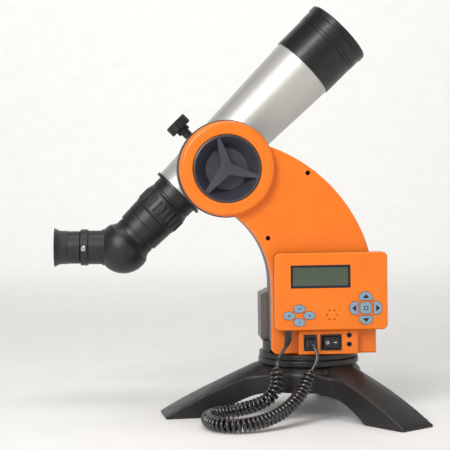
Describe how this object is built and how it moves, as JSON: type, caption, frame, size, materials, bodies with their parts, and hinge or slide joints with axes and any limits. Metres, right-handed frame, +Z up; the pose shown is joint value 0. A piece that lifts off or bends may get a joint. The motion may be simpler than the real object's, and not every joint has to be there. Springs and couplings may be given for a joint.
{
  "type": "telescope on tripod",
  "caption": "Small motor-driven refractor telescope on a curved one-sided arm over a moulded tabletop tripod, with a hand controller on a curly cord.",
  "frame": {"origin": "the point on the floor under the azimuth axis", "axes": "+Z up along the azimuth axis, +X toward the side the tube points to at rest, -Y toward the side with the hand controller"},
  "size_m": [0.3593, 0.2736, 0.4135],
  "materials": {
    "tripod_plastic": "fine texture, satin",
    "ring_plastic": "satin",
    "bolt_plastic": "satin",
    "orange_plastic": "satin gloss",
    "slate_plastic": "satin",
    "screw_steel": "black oxide",
    "motor_steel": "satin",
    "circuit_board": "satin",
    "cell_wrap": "gloss",
    "black_plastic": "satin",
    "black_gloss_plastic": "gloss",
    "knob_plastic": "satin",
    "shaft_steel": "turned",
    "gear_brass": "cut",
    "bar_aluminium": "anodised satin",
    "silver_paint": "metallic gloss",
    "lens_glass": "polished, coated",
    "set_screw_chrome": "polished",
    "black_rubber": "matt",
    "window_plastic": "clear",
    "display": "grey-green liquid crystal",
    "key_rubber": "matt",
    "arrow_key_rubber": "matt",
    "cord_jacket": "satin gloss",
    "plug_plastic": "gloss"
  },
  "bodies": {
    "tripod": {"tripod_base": "tripod_plastic", "base_ring": "ring_plastic"},
    "tripod_bolt": {"tripod_bolt": "bolt_plastic"},
    "azimuth": {"turntable": "ring_plastic", "arm_front_cover": "orange_plastic", "arm_rear_shell": "slate_plastic", "shell_screws": "screw_steel", "azimuth_motor": "motor_steel", "altitude_motor": "motor_steel", "main_board": "circuit_board", "battery_box": "slate_plastic", "battery_cells": "cell_wrap", "connector_housing": "orange_plastic", "modular_jack": "black_plastic", "switch_bezel": "black_gloss_plastic", "round_sockets": "black_plastic"},
    "battery_door": {"battery_door": "slate_plastic"},
    "rocker": {"rocker": "black_gloss_plastic"},
    "clutch": {"clutch_knob": "knob_plastic"},
    "altitude": {"altitude_shaft": "shaft_steel", "altitude_gear": "gear_brass", "saddle": "knob_plastic"},
    "clamp": {"clamp_knob": "knob_plastic"},
    "tube": {"dovetail_bar": "bar_aluminium", "bar_screws": "screw_steel", "main_tube": "silver_paint", "dew_shield": "black_gloss_plastic", "objective_cell": "black_plastic", "objective_flint": "lens_glass", "objective_crown": "lens_glass", "objective_retainer": "black_plastic", "rear_cell": "black_plastic"},
    "dust_cap": {"dust_cap": "black_gloss_plastic"},
    "focus_ring": {"focus_ring": "black_plastic"},
    "drawtube": {"drawtube": "black_plastic"},
    "diagonal": {"diagonal_housing": "black_plastic", "diagonal_prism": "lens_glass", "eyepiece_holder": "black_plastic"},
    "set_screw": {"set_screw": "set_screw_chrome"},
    "eyepiece": {"eyepiece_body": "black_plastic", "eyepiece_lens": "lens_glass", "eyecup": "black_rubber"},
    "controller": {"controller_front": "orange_plastic", "controller_back": "slate_plastic", "lcd_window": "window_plastic", "lcd_module": "display", "strain_relief": "black_rubber", "cord_lead_out": "cord_jacket", "cord_coil": "cord_jacket", "cord_lead_in": "cord_jacket", "modular_plug": "plug_plastic"},
    "key_top": {"key_top": "key_rubber"},
    "key_left": {"key_left": "key_rubber"},
    "key_right": {"key_right": "key_rubber"},
    "key_bottom": {"key_bottom": "key_rubber"},
    "arrow_right": {"arrow_right": "arrow_key_rubber"},
    "arrow_up": {"arrow_up": "arrow_key_rubber"},
    "arrow_left": {"arrow_left": "arrow_key_rubber"},
    "arrow_down": {"arrow_down": "arrow_key_rubber"},
    "select_key": {"select_key": "key_rubber"}
  },
  "joints": [
    {"name": "azimuth_turn", "type": "hinge", "parent": "tripod", "child": "azimuth", "pos_m": [0, 0, 0], "axis": [0, 0, 1], "continuous": true, "deforming": ["cord_lead_out", "cord_coil", "cord_lead_in"]},
    {"name": "tripod_bolt_turn", "type": "hinge", "parent": "tripod", "child": "tripod_bolt", "pos_m": [0, 0, 0], "axis": [0, 0, 1], "range_deg": [0, 360]},
    {"name": "battery_door_pull", "type": "slide", "parent": "azimuth", "child": "battery_door", "axis": [0, 1, 0], "range_m": [0, 0.03]},
    {"name": "rocker_press", "type": "hinge", "parent": "azimuth", "child": "rocker", "pos_m": [0.0167, -0.045, 0.0735], "axis": [0, 0, 1], "range_deg": [-14, 0]},
    {"name": "clutch_turn", "type": "hinge", "parent": "azimuth", "child": "clutch", "pos_m": [-0.082, 0, 0.243], "axis": [0, 1, 0], "range_deg": [0, 180]},
    {"name": "altitude_tilt", "type": "hinge", "parent": "azimuth", "child": "altitude", "pos_m": [-0.082, 0, 0.243], "axis": [0, -1, 0], "range_deg": [-44, 44]},
    {"name": "clamp_turn", "type": "hinge", "parent": "altitude", "child": "clamp", "pos_m": [-0.082, 0.034, 0.243], "axis": [-0.6984, 0, 0.7157], "range_deg": [0, 360]},
    {"name": "bar_slide", "type": "slide", "parent": "altitude", "child": "tube", "axis": [0.7157, 0, 0.6984], "range_m": [0, 0.01]},
    {"name": "cap_pull", "type": "slide", "parent": "tube", "child": "dust_cap", "axis": [0.7157, 0, 0.6984], "range_m": [0, 0.03]},
    {"name": "focus_turn", "type": "hinge", "parent": "tube", "child": "focus_ring", "pos_m": [-0.1248, 0.08, 0.2202], "axis": [0.7157, 0, 0.6984], "range_deg": [0, 350]},
    {"name": "drawtube_slide", "type": "slide", "parent": "tube", "child": "drawtube", "axis": [-0.7157, 0, -0.6984], "range_m": [0, 0.0097]},
    {"name": "diagonal_turn", "type": "hinge", "parent": "drawtube", "child": "diagonal", "pos_m": [-0.18385, 0.08, 0.16258], "axis": [0.7157, 0, 0.6984], "range_deg": [-90, 90]},
    {"name": "set_screw_turn", "type": "hinge", "parent": "diagonal", "child": "set_screw", "pos_m": [-0.22504, 0.08, 0.16308], "axis": [0, -1, 0], "range_deg": [0, 360]},
    {"name": "eyepiece_pull", "type": "slide", "parent": "diagonal", "child": "eyepiece", "axis": [-0.9999, 0, 0.0122], "range_m": [0, 0.04]},
    {"name": "controller_pull", "type": "slide", "parent": "azimuth", "child": "controller", "axis": [0, -1, 0], "range_m": [0, 0.06], "deforming": ["cord_lead_out", "cord_coil", "cord_lead_in"]},
    {"name": "key_top_press", "type": "slide", "parent": "controller", "child": "key_top", "axis": [0, 1, 0], "range_m": [0, 0.0008], "stiffness_N_per_m": 400, "springref_m": -0.001},
    {"name": "key_left_press", "type": "slide", "parent": "controller", "child": "key_left", "axis": [0, 1, 0], "range_m": [0, 0.0008], "stiffness_N_per_m": 400, "springref_m": -0.001},
    {"name": "key_right_press", "type": "slide", "parent": "controller", "child": "key_right", "axis": [0, 1, 0], "range_m": [0, 0.0008], "stiffness_N_per_m": 400, "springref_m": -0.001},
    {"name": "key_bottom_press", "type": "slide", "parent": "controller", "child": "key_bottom", "axis": [0, 1, 0], "range_m": [0, 0.0008], "stiffness_N_per_m": 400, "springref_m": -0.001},
    {"name": "arrow_right_press", "type": "slide", "parent": "controller", "child": "arrow_right", "axis": [0, 1, 0], "range_m": [0, 0.0008], "stiffness_N_per_m": 400, "springref_m": -0.001},
    {"name": "arrow_up_press", "type": "slide", "parent": "controller", "child": "arrow_up", "axis": [0, 1, 0], "range_m": [0, 0.0008], "stiffness_N_per_m": 400, "springref_m": -0.001},
    {"name": "arrow_left_press", "type": "slide", "parent": "controller", "child": "arrow_left", "axis": [0, 1, 0], "range_m": [0, 0.0008], "stiffness_N_per_m": 400, "springref_m": -0.001},
    {"name": "arrow_down_press", "type": "slide", "parent": "controller", "child": "arrow_down", "axis": [0, 1, 0], "range_m": [0, 0.0008], "stiffness_N_per_m": 400, "springref_m": -0.001},
    {"name": "select_key_press", "type": "slide", "parent": "controller", "child": "select_key", "axis": [0, 1, 0], "range_m": [0, 0.0008], "stiffness_N_per_m": 400, "springref_m": -0.001}
  ],
  "couplings": [
    {"joint": "focus_turn", "follows": "drawtube_slide", "rad_per_m": 625}
  ]
}
